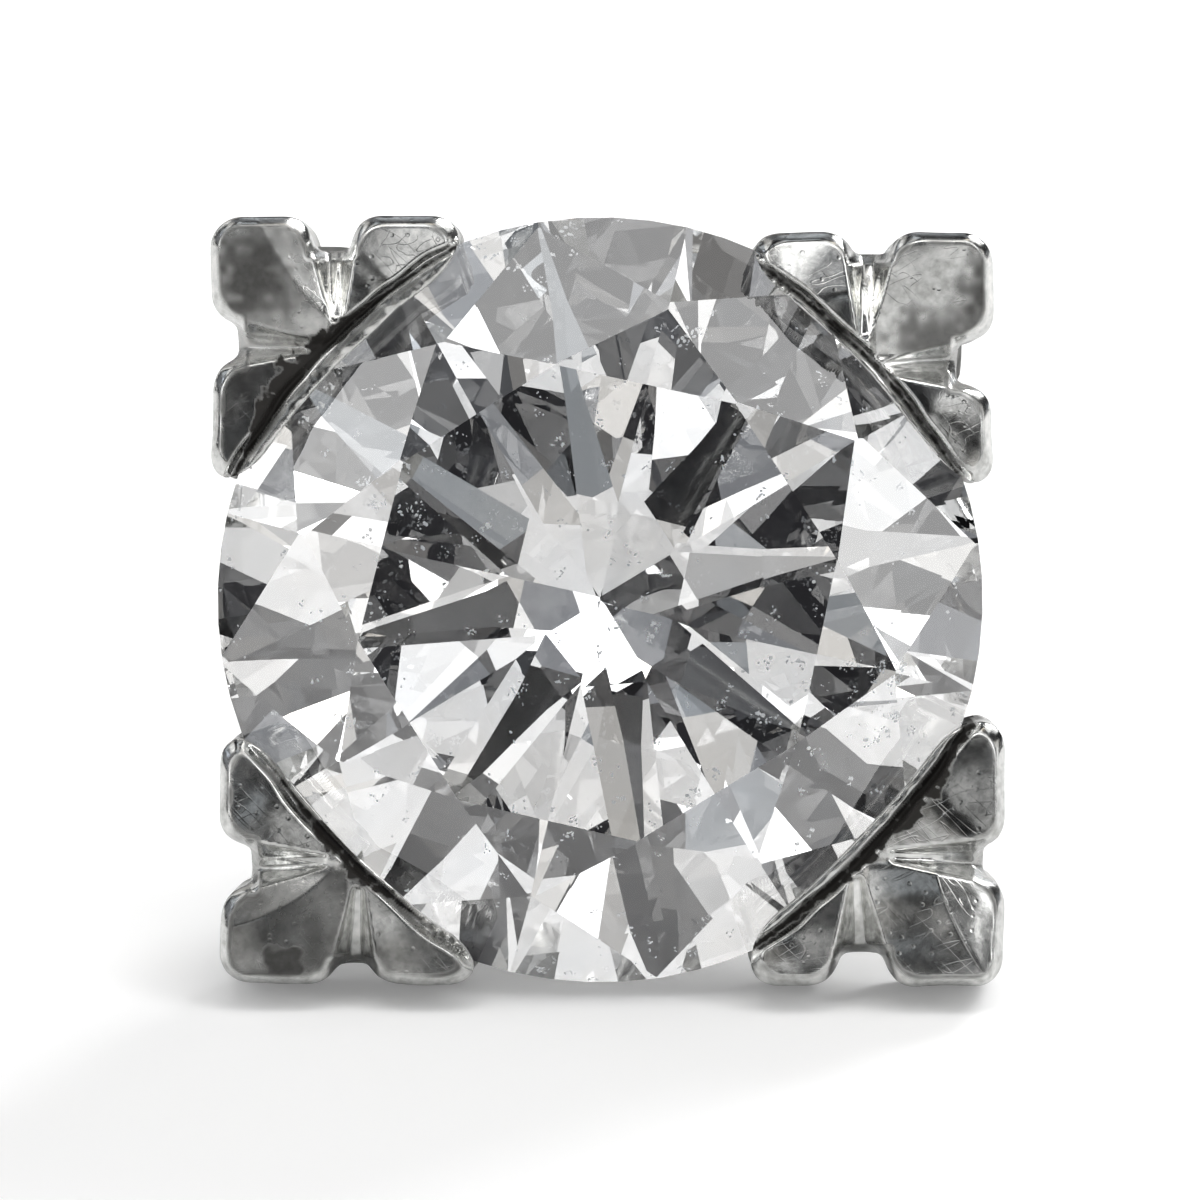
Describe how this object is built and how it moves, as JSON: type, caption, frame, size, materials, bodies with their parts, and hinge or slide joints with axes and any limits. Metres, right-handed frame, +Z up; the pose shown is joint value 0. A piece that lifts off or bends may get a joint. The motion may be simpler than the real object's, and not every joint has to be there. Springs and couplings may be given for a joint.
{
  "type": "stud earring",
  "caption": "Stud earring: a round brilliant-cut stone held by fluted split corner claws on a tapered open basket, with a round base plate and a straight ear post.",
  "frame": {"origin": "middle of the underside of the box round the whole stud as it rests on a surface: the surface is Z 0, touched by the rear edges of the lower claws and by the post's end", "axes": "+Z up from the surface, +X to the right seen from the front, -Y the way that the stone faces; the stone's axis lies in the YZ plane and looks up by 12.9 degrees, and the post points towards +Y and slightly down"},
  "size_m": [0.0068, 0.0142, 0.0066],
  "materials": {
    "white_metal": "polished white gold with fine scratches",
    "clear_stone": "polished colourless facets"
  },
  "bodies": {
    "root": {"stone": "clear_stone", "setting": "white_metal"}
  },
  "joints": []
}
